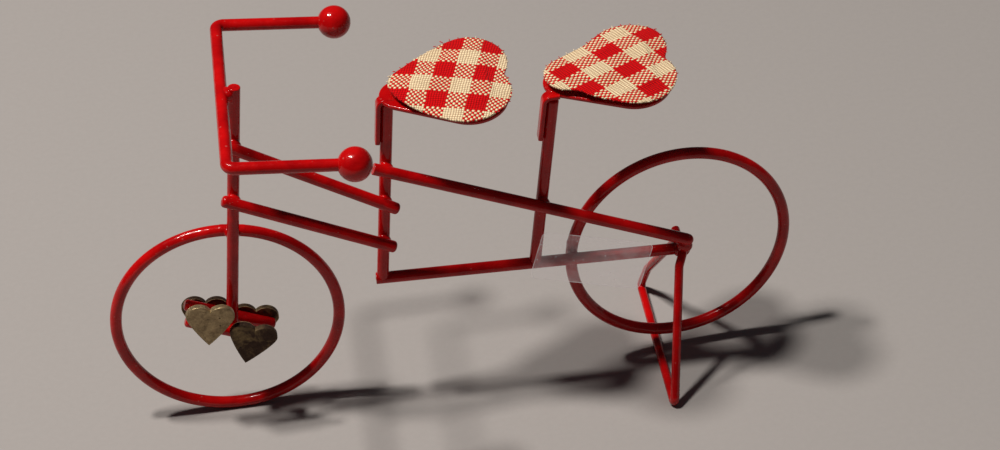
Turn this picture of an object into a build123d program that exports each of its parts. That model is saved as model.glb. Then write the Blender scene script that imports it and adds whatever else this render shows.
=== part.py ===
"""Miniature tandem bicycle bent and soldered from round wire, in millimetres.

The bicycle faces -X, its left side is -Y and up is +Z. The origin is on the floor, midway
along the bicycle and on the centre plane of the posts. The frame is lap-soldered: both front
tubes and the long top tube lie on the left of the posts, and both wheel rings on the right.
"""

import os
from math import acos, asin, atan2, cos, hypot, pi, radians, sin, sqrt, tan

from build123d import *

# ---- driving dimensions ----
WHEEL_OD = 39.5
WHEELBASE = 77.4
REAR_LIFT = 2.7  # the stand holds the rear ring this far off the floor
REAR_WHEEL_YAW = 4.4  # degrees, the rear ring is soldered on slightly askew

WIRE = 2.0  # posts, tubes, rings and handlebar
SOLDER_GAP = 0.04  # film of solder between two lapped wires
WIRE_ROUND = 0.55  # paint rounds the cut ends
CUT_ROUND = 0.15  # ends that stay sharp

HUB_HEIGHT = 20.3  # crank pivot in the foot of the steering post
HUB_SETBACK = 0.65
POST_BELOW_PIVOT = 1.8
POST_TOP_HEIGHT = 67.8
STEERING_LEAN = 7.25  # degrees, tops lean back

FRONT_SEAT_POST_X = 26.6  # foot, from the front wheel's centre
REAR_SEAT_POST_X = 52.3
FRONT_SEAT_POST_TOP = 61.4
REAR_SEAT_POST_TOP = 58.2
FRONT_SEAT_LEAN = 5.9
REAR_SEAT_LEAN = 7.7

BOTTOM_TUBE_FRONT_Z = 25.9
BOTTOM_TUBE_FRONT_OVERHANG = 1.15
UPPER_TUBE_BELOW_TOP = 10.5  # of the steering post
UPPER_TUBE_BELOW_SEAT = 18.8  # of the front seat post's top
UPPER_TUBE_OVERHANG = (1.45, 2.35)
LOWER_TUBE_BELOW_TOP = 21.2
LOWER_TUBE_BELOW_SEAT = 26.9
LOWER_TUBE_OVERHANG = (2.05, 2.0)
TOP_TUBE_BELOW_SEAT = 12.2
TOP_TUBE_OVER_HUB = 3.7
TOP_TUBE_FRONT_OVERHANG = 2.35
TOP_TUBE_PAST_HUB = 0.7

GRIP_SPAN = 39.7  # between the two grip balls
GRIP_BALL = 5.5
GRIP_BORE_DEPTH = 2.9
HANDLEBAR_DROP = 1.1  # below the top of the steering post
HANDLEBAR_REACH = 19.3
HANDLEBAR_SLOPE = 6.1  # degrees, arms fall towards the grips
HANDLEBAR_BEND = 1.3

STAND_WIRE = 1.5
STAND_BEND = 0.9
STAND_HUB_X = 0.1  # ahead of the rear wheel's centre
STAND_HUB_Z = 24.1
STAND_RAKE = 3.9  # foot bar ahead of the hub
STAND_LEFT_FOOT = 13.3
STAND_RIGHT_FOOT = 19.6
STAND_LEFT_TOP = 1.4
STAND_JOGGLE = 0.9  # the legs hang this far ahead of the pivot
STAND_JOGGLE_DROP = 1.6
STAND_KNEE = (16.6, 0.72)  # right leg's bend: distance right, share of the leg's length
STAND_RIGHT_TOP = 2.7
STAND_STUB = 5.2
STAND_JOIN = 0.8  # share of the right leg's upper run that is bent, the rest is soldered on
SLEEVE_OD = 2.9
SLEEVE_ENDS = (-0.6, 1.5)
RUNNING_CLEARANCE = 0.05

CRANK_FRONT = 8.3  # from the pivot
LEFT_CRANK_REAR = 6.0
RIGHT_CRANK_REAR = 7.7
CRANK_SLOPE = 25.0  # degrees, front end up
CRANK_SIDE_GAP = 0.15
CRANK_PIN = 1.0
PEDAL_WIDTH = 8.1
PEDAL_HEIGHT = 8.1
PEDAL_THICKNESS = 1.0
PEDAL_EDGE = 0.22
PEDAL_CLEFT = 1.0
# name, side, along the bar, up from the bar, turn in degrees
PEDALS = (
    ("left_front_pedal", -1, -3.9, 1.5, 9.0),
    ("left_rear_pedal", -1, 3.0, -0.6, 20.0),
    ("right_front_pedal", 1, -5.0, -2.9, 9.0),
    ("right_rear_pedal", 1, 3.7, -2.3, 14.0),
)

SEAT_LENGTH = 20.4
SEAT_WIDTH = 17.8
SEAT_LOBE = 6.0  # radius of each lobe
SEAT_NOSE = 3.4  # radius of the nose
SEAT_ROLL = 6.0  # degrees, right side higher
FRONT_SEAT_SHIFT = 0.6  # each pan is soldered on a little to the right
REAR_SEAT_SHIFT = 2.5
REAR_SEAT_YAW = 3.5  # degrees
PAN_THICKNESS = 0.8
PAN_ROUND = 0.3
SEAT_NOSE_AHEAD = 1.2  # of the post's axis
TAB_WIDTH = 2.1
TAB_THICKNESS = 0.8
TAB_DROP = 7.2
TAB_BEND = 1.1
PAD_INSET = 1.5
PAD_THICKNESS = 1.5
COVER_OVERHANG = 0.95
COVER_SKIN = 0.3
FRONT_COVER_SETBACK = 0.85  # of the cloth's nose behind the pan's nose
REAR_COVER_SETBACK = 0.1
PAD_SETBACK = 0.9

LABEL_WIDTH = 19.4
LABEL_HEIGHT = 9.8
LABEL_THICKNESS = 0.1
LABEL_TURN = 16.5
LABEL_CORNER = 1.0
LABEL_CENTRE = (61.8, 24.7)

SOLDER_RADIUS = 1.32
HUB_LUMP_RADIUS = 1.65  # blob where the long top tube meets the rear hub
HUB_LUMP_AHEAD = 1.9
HUB_LUMP_RISE = 2.0

# ---- derived places ----
RING_RADIUS = (WHEEL_OD - WIRE) / 2
LAP = WIRE + SOLDER_GAP
FRONT_X = -WHEELBASE / 2
REAR_X = WHEELBASE / 2
FRONT_HUB = Vector(FRONT_X, LAP, WHEEL_OD / 2)
REAR_HUB = Vector(REAR_X, LAP + tan(radians(REAR_WHEEL_YAW)) * RING_RADIUS, WHEEL_OD / 2 + REAR_LIFT)
STAND_HUB = Vector(REAR_X - STAND_HUB_X, 0, STAND_HUB_Z)
CRANK_PIVOT = Vector(FRONT_X + HUB_SETBACK, 0, HUB_HEIGHT)


def lean_direction(degrees_back):
    """Unit vector up a post that leans back."""
    return Vector(sin(radians(degrees_back)), 0, cos(radians(degrees_back)))


def on_post(foot, degrees_back, height):
    """Point on a leaning post's axis at a height above the floor."""
    return foot + Vector(tan(radians(degrees_back)) * (height - foot.Z), 0, height - foot.Z)


def bottom_tube_height(x):
    """Height of the bottom tube's axis, a straight line from its front end to the stand's hub."""
    front = FRONT_X + FRONT_SEAT_POST_X
    share = (x - front) / (STAND_HUB.X - front)
    return BOTTOM_TUBE_FRONT_Z + share * (STAND_HUB_Z - BOTTOM_TUBE_FRONT_Z)


def seat_foot(x):
    return Vector(FRONT_X + x, 0, bottom_tube_height(FRONT_X + x))


FRONT_SEAT_FOOT = seat_foot(FRONT_SEAT_POST_X)
REAR_SEAT_FOOT = seat_foot(REAR_SEAT_POST_X)
LEFT_LAYER = Vector(0, -LAP, 0)


def round_wire(start, finish, end_round, diameter=WIRE):
    """Straight round wire with both ends rounded."""
    run = finish - start
    with BuildPart() as rod:
        with BuildSketch(Plane(origin=start, z_dir=run)):
            Circle(diameter / 2)
        extrude(amount=run.length)
        fillet(rod.faces().filter_by(GeomType.PLANE).edges(), end_round)
    return rod


def cutting_rod(start, finish, radius):
    """Private cylinder that copes one wire to another."""
    run = finish - start
    plane = Plane(origin=start, z_dir=run)
    upright = (Align.CENTER, Align.CENTER, Align.MIN)
    return plane * Cylinder(radius, run.length, align=upright, mode=Mode.PRIVATE)


def wheel_ring(hub, yaw):
    """Spokeless wheel: one closed ring of round wire."""
    across = Vector(cos(radians(yaw)), sin(radians(yaw)), 0)
    axle = Vector(-sin(radians(yaw)), cos(radians(yaw)), 0)
    with BuildPart() as ring:
        with BuildSketch(Plane(origin=hub + across * RING_RADIUS, x_dir=across, z_dir=(0, 0, 1))):
            Circle(WIRE / 2)
        revolve(axis=Axis(hub, axle), revolution_arc=360)
    return ring


def lapped_tube(front_joint, rear_joint, overhangs, end_round=WIRE_ROUND):
    """Tube soldered across the left of two posts, running past both."""
    along = (rear_joint - front_joint).normalized()
    start = front_joint + LEFT_LAYER - along * overhangs[0]
    finish = rear_joint + LEFT_LAYER + along * overhangs[1]
    return round_wire(start, finish, end_round)


# ---- frame ----
BOTTOM_START_X = FRONT_SEAT_FOOT.X - BOTTOM_TUBE_FRONT_OVERHANG
BOTTOM_START = Vector(BOTTOM_START_X, 0, bottom_tube_height(BOTTOM_START_X))
BOTTOM_AIM = (STAND_HUB - BOTTOM_START).normalized()

with BuildPart() as bottom_tube:
    with BuildSketch(Plane(origin=BOTTOM_START, z_dir=BOTTOM_AIM)):
        Circle(WIRE / 2)
    extrude(amount=(STAND_HUB - BOTTOM_START).length)
    fillet(bottom_tube.faces().filter_by(GeomType.PLANE).sort_by(Axis.X)[0].edges(), CUT_ROUND)
    sleeve_side = Vector(0, WIRE, 0)
    add(cutting_rod(STAND_HUB - sleeve_side, STAND_HUB + sleeve_side, SLEEVE_OD / 2), mode=Mode.SUBTRACT)
bottom_tube.part.label = "bottom_tube"


def seat_post(foot, lean, top_height):
    """Post coped on to the bottom tube."""
    top = on_post(foot, lean, top_height)
    with BuildPart() as post:
        with BuildSketch(Plane(origin=foot, z_dir=top - foot)):
            Circle(WIRE / 2)
        extrude(amount=(top - foot).length)
        fillet(post.faces().filter_by(GeomType.PLANE).sort_by(Axis.Z)[-1].edges(), WIRE_ROUND)
        reach = BOTTOM_AIM * 3 * WIRE
        add(cutting_rod(foot - reach, foot + reach, WIRE / 2 + SOLDER_GAP), mode=Mode.SUBTRACT)
    return post


STEERING_FOOT = on_post(CRANK_PIVOT, STEERING_LEAN, HUB_HEIGHT - POST_BELOW_PIVOT)
STEERING_TOP = on_post(CRANK_PIVOT, STEERING_LEAN, POST_TOP_HEIGHT)

with BuildPart() as steering_post:
    with BuildSketch(Plane(origin=STEERING_FOOT, z_dir=STEERING_TOP - STEERING_FOOT)):
        Circle(WIRE / 2)
    extrude(amount=(STEERING_TOP - STEERING_FOOT).length)
    fillet(steering_post.faces().filter_by(GeomType.PLANE).edges(), CUT_ROUND)
    with BuildSketch(Plane(origin=CRANK_PIVOT, z_dir=(0, 1, 0))):
        Circle(CRANK_PIN / 2 + RUNNING_CLEARANCE)
    extrude(amount=WIRE, both=True, mode=Mode.SUBTRACT)
steering_post.part.label = "steering_post"

front_seat_post = seat_post(FRONT_SEAT_FOOT, FRONT_SEAT_LEAN, FRONT_SEAT_POST_TOP)
rear_seat_post = seat_post(REAR_SEAT_FOOT, REAR_SEAT_LEAN, REAR_SEAT_POST_TOP)


def on_steering(height):
    return on_post(CRANK_PIVOT, STEERING_LEAN, height)


def on_front_seat(height):
    return on_post(FRONT_SEAT_FOOT, FRONT_SEAT_LEAN, height)


def on_rear_seat(height):
    return on_post(REAR_SEAT_FOOT, REAR_SEAT_LEAN, height)


UPPER_FRONT_JOINT = on_steering(POST_TOP_HEIGHT - UPPER_TUBE_BELOW_TOP)
UPPER_REAR_JOINT = on_front_seat(FRONT_SEAT_POST_TOP - UPPER_TUBE_BELOW_SEAT)
LOWER_FRONT_JOINT = on_steering(POST_TOP_HEIGHT - LOWER_TUBE_BELOW_TOP)
LOWER_REAR_JOINT = on_front_seat(FRONT_SEAT_POST_TOP - LOWER_TUBE_BELOW_SEAT)
upper_front_tube = lapped_tube(UPPER_FRONT_JOINT, UPPER_REAR_JOINT, UPPER_TUBE_OVERHANG)
lower_front_tube = lapped_tube(LOWER_FRONT_JOINT, LOWER_REAR_JOINT, LOWER_TUBE_OVERHANG)

TOP_FRONT_JOINT = on_front_seat(FRONT_SEAT_POST_TOP - TOP_TUBE_BELOW_SEAT)
TOP_AIM = (STAND_HUB + Vector(0, 0, TOP_TUBE_OVER_HUB) - TOP_FRONT_JOINT).normalized()
REAR_POST_AIM = lean_direction(REAR_SEAT_LEAN)
TOP_APART = REAR_SEAT_FOOT - TOP_FRONT_JOINT
TOP_CROSSING = (TOP_APART.X * REAR_POST_AIM.Z - TOP_APART.Z * REAR_POST_AIM.X) / (
    TOP_AIM.X * REAR_POST_AIM.Z - TOP_AIM.Z * REAR_POST_AIM.X
)
TOP_REAR_JOINT = TOP_FRONT_JOINT + TOP_AIM * TOP_CROSSING
TOP_REAR_OVERHANG = (STAND_HUB.X + TOP_TUBE_PAST_HUB - TOP_REAR_JOINT.X) / TOP_AIM.X
long_top_tube = lapped_tube(
    TOP_FRONT_JOINT, TOP_REAR_JOINT, (TOP_TUBE_FRONT_OVERHANG, TOP_REAR_OVERHANG), CUT_ROUND
)

front_wheel_ring = wheel_ring(FRONT_HUB, 0)
rear_wheel_ring = wheel_ring(REAR_HUB, REAR_WHEEL_YAW)

with BuildPart() as rear_hub_sleeve:
    with BuildSketch(Plane(origin=STAND_HUB + Vector(0, SLEEVE_ENDS[0], 0), z_dir=(0, 1, 0))):
        Circle(SLEEVE_OD / 2)
        Circle(STAND_WIRE / 2 + RUNNING_CLEARANCE, mode=Mode.SUBTRACT)
    extrude(amount=SLEEVE_ENDS[1] - SLEEVE_ENDS[0])
rear_hub_sleeve.part.label = "rear_hub_sleeve"

# ---- handlebar and grips ----
HANDLEBAR_JOINT = on_steering(POST_TOP_HEIGHT - HANDLEBAR_DROP) - Vector(LAP, 0, 0)
HANDLEBAR_PLANE = Plane(
    origin=HANDLEBAR_JOINT,
    x_dir=(cos(radians(HANDLEBAR_SLOPE)), 0, -sin(radians(HANDLEBAR_SLOPE))),
    z_dir=(sin(radians(HANDLEBAR_SLOPE)), 0, cos(radians(HANDLEBAR_SLOPE))),
)
ARM_END = HANDLEBAR_REACH - GRIP_BALL / 2 + GRIP_BORE_DEPTH

with BuildPart() as handlebar:
    with BuildLine(HANDLEBAR_PLANE) as bar_route:
        FilletPolyline(
            (ARM_END, -GRIP_SPAN / 2),
            (0, -GRIP_SPAN / 2),
            (0, GRIP_SPAN / 2),
            (ARM_END, GRIP_SPAN / 2),
            radius=HANDLEBAR_BEND,
        )
    with BuildSketch(Plane(origin=bar_route.line @ 0, z_dir=bar_route.line % 0)):
        Circle(WIRE / 2)
    sweep(path=bar_route.line)
handlebar.part.label = "handlebar"


def grip_ball(side):
    """Ball drilled to slip over the end of a handlebar arm."""
    centre = HANDLEBAR_PLANE.from_local_coords(Vector(HANDLEBAR_REACH, side * GRIP_SPAN / 2, 0))
    mouth = Plane(origin=centre - HANDLEBAR_PLANE.x_dir * GRIP_BALL, z_dir=HANDLEBAR_PLANE.x_dir)
    with BuildPart() as ball:
        with Locations(centre):
            Sphere(GRIP_BALL / 2)
        with BuildSketch(mouth):
            Circle(WIRE / 2)
        extrude(amount=GRIP_BALL / 2 + GRIP_BORE_DEPTH, mode=Mode.SUBTRACT)
    return ball


left_grip_ball = grip_ball(-1)
right_grip_ball = grip_ball(1)

# ---- crank with heart pedals ----
CRANK_AIM = Vector(cos(radians(CRANK_SLOPE)), 0, -sin(radians(CRANK_SLOPE)))
CRANK_OFFSET = WIRE + CRANK_SIDE_GAP


def crank_bar(side, rear_reach):
    """Bar beside the steering post, pressed on to the crank pin."""
    middle = CRANK_PIVOT + Vector(0, side * CRANK_OFFSET, 0)
    start = middle - CRANK_AIM * CRANK_FRONT
    with BuildPart() as bar:
        with BuildSketch(Plane(origin=start, z_dir=CRANK_AIM)):
            Circle(WIRE / 2)
        extrude(amount=CRANK_FRONT + rear_reach)
        fillet(bar.faces().filter_by(GeomType.PLANE).edges(), WIRE_ROUND)
        with BuildSketch(Plane(origin=middle, z_dir=(0, 1, 0))):
            Circle(CRANK_PIN / 2)
        extrude(amount=WIRE, both=True, mode=Mode.SUBTRACT)
    return bar


left_crank_bar = crank_bar(-1, LEFT_CRANK_REAR)
right_crank_bar = crank_bar(1, RIGHT_CRANK_REAR)

CRANK_PIN_END = Vector(0, CRANK_OFFSET + WIRE / 2, 0)
with BuildPart() as crank_pin:
    with BuildSketch(Plane(origin=CRANK_PIVOT - CRANK_PIN_END, z_dir=(0, 1, 0))):
        Circle(CRANK_PIN / 2)
    extrude(amount=2 * CRANK_PIN_END.Y)
crank_pin.part.label = "crank_pin"


def heart_pedal(side, along, up, turn):
    """Stamped heart soldered flat on the outer side of a crank bar, tip down."""
    face_y = side * (CRANK_OFFSET + WIRE / 2 + SOLDER_GAP)
    centre = CRANK_PIVOT + CRANK_AIM * along + Vector(0, face_y, up)
    lean = radians(turn)
    plane = Plane(origin=centre, x_dir=(cos(lean), 0, -sin(lean)), z_dir=(0, -1, 0))
    lobe = PEDAL_WIDTH / 4
    half = PEDAL_HEIGHT / 2
    shoulder = half - lobe
    with BuildPart() as heart:
        with BuildSketch(plane):
            with BuildLine():
                cleft = (0, half - PEDAL_CLEFT)
                crown = ThreePointArc(cleft, (lobe, half), (2 * lobe, shoulder))
                Bezier(crown @ 1, (2 * lobe, shoulder - 0.3 * half), (0.5 * lobe, -0.75 * half), (0, -half))
                mirror(about=Plane.YZ)
            make_face()
        extrude(amount=-side * PEDAL_THICKNESS)
        outer = heart.faces().filter_by(Axis.Y).sort_by(Axis.Y)[0 if side < 0 else -1]
        fillet(outer.edges(), PEDAL_EDGE)
    return heart


# ---- seats ----
LOBE_X = SEAT_LENGTH - SEAT_LOBE
LOBE_Y = SEAT_WIDTH / 2 - SEAT_LOBE


def heart_outline(inset, setback):
    """Blunt heart inset from the pan's edge, its nose a setback behind the origin, lobes towards +X."""
    nose = SEAT_NOSE - inset
    lobe = SEAT_LOBE - inset
    nose_x = nose + setback
    aim = atan2(LOBE_Y, LOBE_X - nose_x)
    flank = aim + asin((lobe - nose) / hypot(LOBE_Y, LOBE_X - nose_x)) + pi / 2
    cleft = acos(LOBE_Y / lobe) - pi / 2

    def on_nose(angle):
        return (nose_x + nose * cos(angle), nose * sin(angle))

    def on_lobe(angle):
        return (LOBE_X + lobe * cos(angle), LOBE_Y + lobe * sin(angle))

    ThreePointArc(on_nose(pi), on_nose((pi + flank) / 2), on_nose(flank))
    Line(on_nose(flank), on_lobe(flank))
    ThreePointArc(on_lobe(flank), on_lobe((flank + cleft) / 2), (on_lobe(cleft)[0], 0))
    mirror(about=Plane.XZ)


def seat_plane(post_top, side_shift, yaw):
    """Plane of a pan's underside, origin at its nose, just clear of the post's top."""
    roll = radians(SEAT_ROLL)
    turn = radians(yaw)
    rise = tan(roll) * (side_shift + WIRE / 2) + SOLDER_GAP
    nose = post_top + Vector(-SEAT_NOSE_AHEAD, side_shift, rise)
    return Plane(
        origin=nose,
        x_dir=(cos(turn), sin(turn) * cos(roll), sin(turn) * sin(roll)),
        z_dir=(0, -sin(roll), cos(roll)),
    )


def seat_pan(plane, post_top, lean):
    """Heart pan with a strip at the nose folded down the front of the post."""
    down = lean_direction(lean) * -1
    ahead = Vector(-cos(radians(lean)), 0, sin(radians(lean)))
    strip_top = post_top + ahead * (WIRE / 2 + SOLDER_GAP + TAB_THICKNESS / 2)
    underside = plane.origin.Z - tan(radians(SEAT_ROLL)) * plane.origin.Y
    lift = underside + PAN_THICKNESS / 2 - SOLDER_GAP - strip_top.Z
    corner = strip_top + lean_direction(lean) * (lift / cos(radians(lean)))
    foot = corner + down * (TAB_DROP + PAN_THICKNESS)
    back = Vector(corner.X + 2.2 * TAB_BEND, corner.Y, corner.Z + 0.1 * TAB_BEND)
    with BuildPart() as pan:
        with BuildSketch(plane):
            with BuildLine():
                heart_outline(0, 0)
            make_face()
        extrude(amount=PAN_THICKNESS)
        fillet(pan.faces().filter_by(GeomType.PLANE).edges(), PAN_ROUND)
        with BuildLine() as strip_route:
            FilletPolyline(back, corner, foot, radius=TAB_BEND)
        with BuildSketch(Plane(origin=strip_route.line @ 0, x_dir=(0, 1, 0), z_dir=strip_route.line % 0)):
            RectangleRounded(TAB_WIDTH, TAB_THICKNESS, TAB_THICKNESS * 0.35)
        sweep(path=strip_route.line)
    return pan


def seat_pad(plane):
    """Thin pad under the cloth."""
    with BuildPart() as pad:
        with BuildSketch(plane.offset(PAN_THICKNESS)):
            with BuildLine():
                heart_outline(PAD_INSET, PAD_SETBACK)
            make_face()
        extrude(amount=PAD_THICKNESS)
        fillet(pad.faces().filter_by(GeomType.PLANE).sort_by(Axis.Z)[-1].edges(), PAD_THICKNESS * 0.4)
    return pad


def seat_cover(plane, pad, setback):
    """Cloth over the pad, level with the pan and a little past its sides."""
    with BuildPart() as cover:
        with BuildSketch(plane.offset(PAN_THICKNESS)):
            with BuildLine():
                heart_outline(-COVER_OVERHANG, setback)
            make_face()
        extrude(amount=PAD_THICKNESS + COVER_SKIN)
        top = cover.faces().filter_by(GeomType.PLANE).sort_by(Axis.Z)[-1]
        fillet(top.edges(), (PAD_THICKNESS + COVER_SKIN) * 0.4)
        add(pad.part, mode=Mode.SUBTRACT)
    return cover


FRONT_SEAT_TOP = on_front_seat(FRONT_SEAT_POST_TOP)
REAR_SEAT_TOP = on_rear_seat(REAR_SEAT_POST_TOP)
FRONT_SEAT_PLANE = seat_plane(FRONT_SEAT_TOP, FRONT_SEAT_SHIFT, 0)
REAR_SEAT_PLANE = seat_plane(REAR_SEAT_TOP, REAR_SEAT_SHIFT, REAR_SEAT_YAW)

front_seat_pan = seat_pan(FRONT_SEAT_PLANE, FRONT_SEAT_TOP, FRONT_SEAT_LEAN)
rear_seat_pan = seat_pan(REAR_SEAT_PLANE, REAR_SEAT_TOP, REAR_SEAT_LEAN)
front_seat_pad = seat_pad(FRONT_SEAT_PLANE)
rear_seat_pad = seat_pad(REAR_SEAT_PLANE)
front_seat_cover = seat_cover(FRONT_SEAT_PLANE, front_seat_pad, FRONT_COVER_SETBACK)
rear_seat_cover = seat_cover(REAR_SEAT_PLANE, rear_seat_pad, REAR_COVER_SETBACK)

# ---- stand: one bent wire whose upper end is its own pivot ----
STAND_FOOT_Z = STAND_WIRE / 2
STAND_TOP = STAND_HUB - Vector(STAND_JOGGLE, 0, STAND_JOGGLE_DROP)
STAND_SLOPE = (STAND_RAKE - STAND_JOGGLE) / (STAND_TOP.Z - STAND_FOOT_Z)


def on_stand(side, height):
    """Point in the plane of the stand's legs."""
    return (STAND_TOP.X - STAND_SLOPE * (STAND_TOP.Z - height), side, height)


STAND_KNEE_Z = STAND_TOP.Z - STAND_KNEE[1] * (STAND_TOP.Z - STAND_FOOT_Z)
STAND_KNEE_POINT = Vector(on_stand(STAND_KNEE[0], STAND_KNEE_Z))
STAND_RIGHT_END = STAND_HUB + Vector(0, STAND_RIGHT_TOP, 0)
STAND_LAST_RUN = STAND_RIGHT_END - STAND_KNEE_POINT
STAND_BENT_END = STAND_KNEE_POINT + STAND_LAST_RUN * STAND_JOIN

with BuildPart() as stand_wire:
    with BuildLine() as stand_route:
        FilletPolyline(
            STAND_HUB + Vector(0, STAND_STUB, 0),
            STAND_HUB - Vector(0, STAND_LEFT_TOP, 0),
            on_stand(-2 * STAND_LEFT_TOP, STAND_TOP.Z),
            on_stand(-STAND_LEFT_FOOT, STAND_FOOT_Z),
            on_stand(STAND_RIGHT_FOOT, STAND_FOOT_Z),
            STAND_KNEE_POINT,
            STAND_BENT_END,
            radius=STAND_BEND,
        )
    with BuildSketch(Plane(origin=stand_route.line @ 0, z_dir=stand_route.line % 0)):
        Circle(STAND_WIRE / 2)
    sweep(path=stand_route.line)
    with BuildSketch(Plane(origin=stand_route.line @ 1, z_dir=stand_route.line % 1)):
        Circle(STAND_WIRE / 2)
    extrude(amount=(1 - STAND_JOIN) * STAND_LAST_RUN.length)
stand_wire.part.label = "stand_wire"

# ---- clear label on the bottom tube ----
LABEL_TILT = radians(LABEL_TURN)
LABEL_PLANE = Plane(
    origin=(FRONT_X + LABEL_CENTRE[0], -WIRE / 2 - SOLDER_GAP, LABEL_CENTRE[1]),
    x_dir=(cos(LABEL_TILT), 0, -sin(LABEL_TILT)),
    z_dir=(0, -1, 0),
)
with BuildPart() as clear_label:
    with BuildSketch(LABEL_PLANE):
        RectangleRounded(LABEL_WIDTH, LABEL_HEIGHT, LABEL_CORNER)
    extrude(amount=LABEL_THICKNESS)
clear_label.part.label = "clear_label"


# ---- solder fillets ----
def ring_height(hub, x, upper):
    """Height of a ring's centre line above a place along the bicycle."""
    rise = sqrt(RING_RADIUS**2 - (x - hub.X) ** 2)
    return hub.Z + rise if upper else hub.Z - rise


FRONT_RING_TOP = on_steering(ring_height(FRONT_HUB, on_steering(WHEEL_OD).X, True))
REAR_RING_FRONT = Vector(REAR_X - RING_RADIUS, 0, bottom_tube_height(REAR_X - RING_RADIUS))
HUB_LUMP = Vector(STAND_HUB.X - HUB_LUMP_AHEAD, -LAP / 2, STAND_HUB_Z + HUB_LUMP_RISE)
LAP_JOINTS = [
    UPPER_FRONT_JOINT + LEFT_LAYER * 0.5,
    LOWER_FRONT_JOINT + LEFT_LAYER * 0.5,
    UPPER_REAR_JOINT + LEFT_LAYER * 0.5,
    LOWER_REAR_JOINT + LEFT_LAYER * 0.5,
    TOP_FRONT_JOINT + LEFT_LAYER * 0.5,
    TOP_REAR_JOINT + LEFT_LAYER * 0.5,
    FRONT_RING_TOP - LEFT_LAYER * 0.5,
    REAR_RING_FRONT - LEFT_LAYER * 0.5,
    HANDLEBAR_JOINT + Vector(LAP / 2, 0, 0),
    FRONT_SEAT_FOOT + Vector(0, 0, WIRE / 2),
    REAR_SEAT_FOOT + Vector(0, 0, WIRE / 2),
]
SOLDERED = (
    steering_post, front_seat_post, rear_seat_post, upper_front_tube, lower_front_tube,
    long_top_tube, bottom_tube, front_wheel_ring, rear_wheel_ring, handlebar,
    rear_hub_sleeve, clear_label,
)
with BuildPart() as solder_joints:
    with Locations(*LAP_JOINTS):
        Sphere(SOLDER_RADIUS)
    with Locations(HUB_LUMP):
        Sphere(HUB_LUMP_RADIUS)
    for piece in SOLDERED:
        add(piece.part, mode=Mode.SUBTRACT)
solder_joints.part.label = "solder_joints"

# ---- export ----
pieces = {
    "steering_post": steering_post,
    "front_seat_post": front_seat_post,
    "rear_seat_post": rear_seat_post,
    "upper_front_tube": upper_front_tube,
    "lower_front_tube": lower_front_tube,
    "long_top_tube": long_top_tube,
    "bottom_tube": bottom_tube,
    "rear_hub_sleeve": rear_hub_sleeve,
    "solder_joints": solder_joints,
    "front_wheel_ring": front_wheel_ring,
    "rear_wheel_ring": rear_wheel_ring,
    "handlebar": handlebar,
    "left_grip_ball": left_grip_ball,
    "right_grip_ball": right_grip_ball,
    "left_crank_bar": left_crank_bar,
    "right_crank_bar": right_crank_bar,
    "crank_pin": crank_pin,
    "front_seat_pan": front_seat_pan,
    "front_seat_pad": front_seat_pad,
    "front_seat_cover": front_seat_cover,
    "rear_seat_pan": rear_seat_pan,
    "rear_seat_pad": rear_seat_pad,
    "rear_seat_cover": rear_seat_cover,
    "stand_wire": stand_wire,
    "clear_label": clear_label,
}
for name, side, along, up, turn in PEDALS:
    pieces[name] = heart_pedal(side, along, up, turn)

os.makedirs("parts", exist_ok=True)
for name, piece in pieces.items():
    piece.part.label = name
    export_step(piece.part, f"parts/{name}.step")
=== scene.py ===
"""Looks of the miniature tandem bicycle: dipped red wire, gingham seats and brass heart pedals."""

import math
import random

import bmesh
import bpy
import numpy as np
from mathutils import Matrix, Vector


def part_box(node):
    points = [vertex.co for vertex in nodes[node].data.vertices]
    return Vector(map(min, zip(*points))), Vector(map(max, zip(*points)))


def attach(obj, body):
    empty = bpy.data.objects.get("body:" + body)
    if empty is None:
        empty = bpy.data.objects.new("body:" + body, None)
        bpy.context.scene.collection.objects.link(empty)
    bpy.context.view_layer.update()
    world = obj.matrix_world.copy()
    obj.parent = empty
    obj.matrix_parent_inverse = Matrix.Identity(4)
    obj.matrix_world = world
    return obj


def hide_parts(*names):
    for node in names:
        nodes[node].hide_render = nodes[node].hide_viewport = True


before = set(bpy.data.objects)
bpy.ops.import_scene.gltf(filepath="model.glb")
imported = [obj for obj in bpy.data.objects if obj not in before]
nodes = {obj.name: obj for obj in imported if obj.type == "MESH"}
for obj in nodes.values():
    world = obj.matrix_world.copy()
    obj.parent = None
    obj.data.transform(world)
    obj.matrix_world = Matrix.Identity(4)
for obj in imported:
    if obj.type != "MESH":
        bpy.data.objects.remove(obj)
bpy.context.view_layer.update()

MM = 0.001
LARGE = 100.0  # remeshing and cloth are worked on a copy this many times larger

WIRE_RADIUS = 1.0 * MM
RED_NODES = (
    "steering_post", "front_seat_post", "rear_seat_post", "upper_front_tube",
    "lower_front_tube", "long_top_tube", "bottom_tube", "rear_hub_sleeve",
    "front_wheel_ring", "rear_wheel_ring", "handlebar", "left_grip_ball",
    "right_grip_ball", "front_seat_pan", "rear_seat_pan", "stand_wire",
    "left_crank_bar", "right_crank_bar", "crank_pin",
)


# ---- node tree helpers ----
def add_node(tree, kind, inputs=None, **settings):
    """Shader node with its settings and its inputs, each a plain value or another node's output."""
    node = tree.nodes.new(kind)
    for name, value in settings.items():
        setattr(node, name, value)
    for name, value in (inputs or {}).items():
        if isinstance(value, bpy.types.NodeSocket):
            tree.links.new(value, node.inputs[name])
        else:
            node.inputs[name].default_value = value
    return node


def calc(tree, operation, first, second=0.0, third=0.0, clamp=False):
    """Output of one Math node."""
    node = add_node(tree, "ShaderNodeMath", {0: first, 1: second, 2: third}, operation=operation)
    node.use_clamp = clamp
    return node.outputs[0]


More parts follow.
